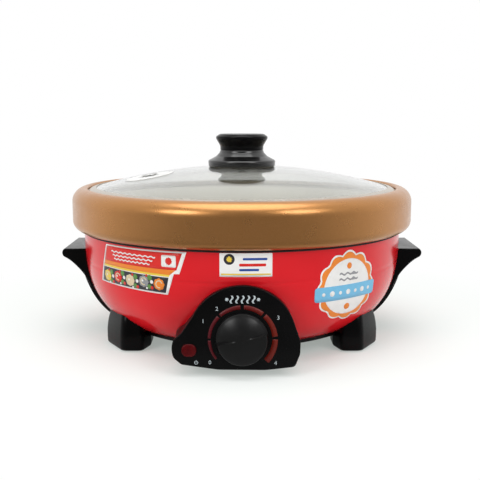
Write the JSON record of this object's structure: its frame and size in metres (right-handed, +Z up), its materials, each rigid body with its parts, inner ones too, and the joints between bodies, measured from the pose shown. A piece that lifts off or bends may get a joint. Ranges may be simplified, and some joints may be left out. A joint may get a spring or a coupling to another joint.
{
  "type": "electric hot pot with lid",
  "caption": "Round electric hot pot: steel bowl base with side handles and feet, lift-out pot with broad rim band, lift-off domed glass lid, front thermostat dial.",
  "frame": {"origin": "on the surface that it stands on, under the middle of the pot and its lid knob", "axes": "+Z up along the axis of the pot, -Y towards the control dial, +X to the right seen from the dial; the side handles lie along X"},
  "size_m": [0.354, 0.3444, 0.199],
  "materials": {
    "red_enamel": "high gloss red enamel",
    "bronze_band": "satin bronze metallic lacquer",
    "black_bakelite": "semi-gloss black phenolic",
    "black_plastic": "fine matt black moulding",
    "panel_black": "satin black",
    "dial_black": "semi-gloss black",
    "scale_red": "printed red ink",
    "lamp_red": "clear red lens",
    "black_rubber": "matt",
    "grey_silicone": "matt",
    "steel": "plain bright zinc or steel",
    "polished_steel": "polished stainless steel",
    "brass": "turned brass",
    "copper": "drawn copper",
    "cast_aluminium": "as cast, turned top",
    "pot_lining": "light non-stick lining",
    "clear_glass": "clear tempered",
    "white_ceramic": "unglazed",
    "wire_sleeve": "glass-fibre sleeve"
  },
  "bodies": {
    "base": {"body_shell": "red_enamel", "rim_seal": "black_rubber", "base_tray": "black_plastic", "side_bracket_left": "black_bakelite", "side_bracket_right": "black_bakelite", "bracket_screws": "steel", "foot_front_left": "black_bakelite", "foot_front_right": "black_bakelite", "foot_rear_left": "black_bakelite", "foot_rear_right": "black_bakelite", "foot_pads": "black_rubber", "foot_screws": "steel", "plate_posts": "steel", "tray_screws": "steel", "heating_plate": "cast_aluminium", "heating_element": "steel", "reflector_pan": "steel", "thermal_fuse": "white_ceramic", "terminal_block": "white_ceramic", "control_housing": "black_plastic", "control_panel": "panel_black", "scale_arcs": "scale_red", "lamp_lens": "lamp_red", "neon_lamp": "clear_glass", "thermostat": "steel", "thermostat_bracket": "steel", "panel_screws": "steel", "power_inlet": "black_plastic", "inlet_pins": "brass", "inlet_wires": "wire_sleeve", "thermostat_wires": "wire_sleeve", "return_wire": "wire_sleeve", "lamp_wires": "wire_sleeve", "thermostat_bulb": "copper"},
    "dial": {"dial_knob": "dial_black", "thermostat_shaft": "steel"},
    "pot": {"inner_pot": "pot_lining", "rim_band": "bronze_band"},
    "lid": {"lid_glass": "clear_glass", "lid_rim": "polished_steel", "vent_eyelet": "polished_steel", "knob_skirt": "black_bakelite", "lid_knob": "black_bakelite", "knob_insert": "brass", "knob_gasket": "grey_silicone", "knob_washer": "polished_steel", "knob_screw": "polished_steel"}
  },
  "joints": [
    {"name": "dial_turn", "type": "hinge", "parent": "base", "child": "dial", "pos_m": [0, -0.165, 0.0336], "axis": [0, 1, 0], "range_deg": [-26, 236]},
    {"name": "pot_lift", "type": "slide", "parent": "base", "child": "pot", "axis": [0, 0, 1], "range_m": [0, 0.14]},
    {"name": "lid_lift", "type": "slide", "parent": "pot", "child": "lid", "axis": [0, 0, 1], "range_m": [0, 0.15]}
  ]
}
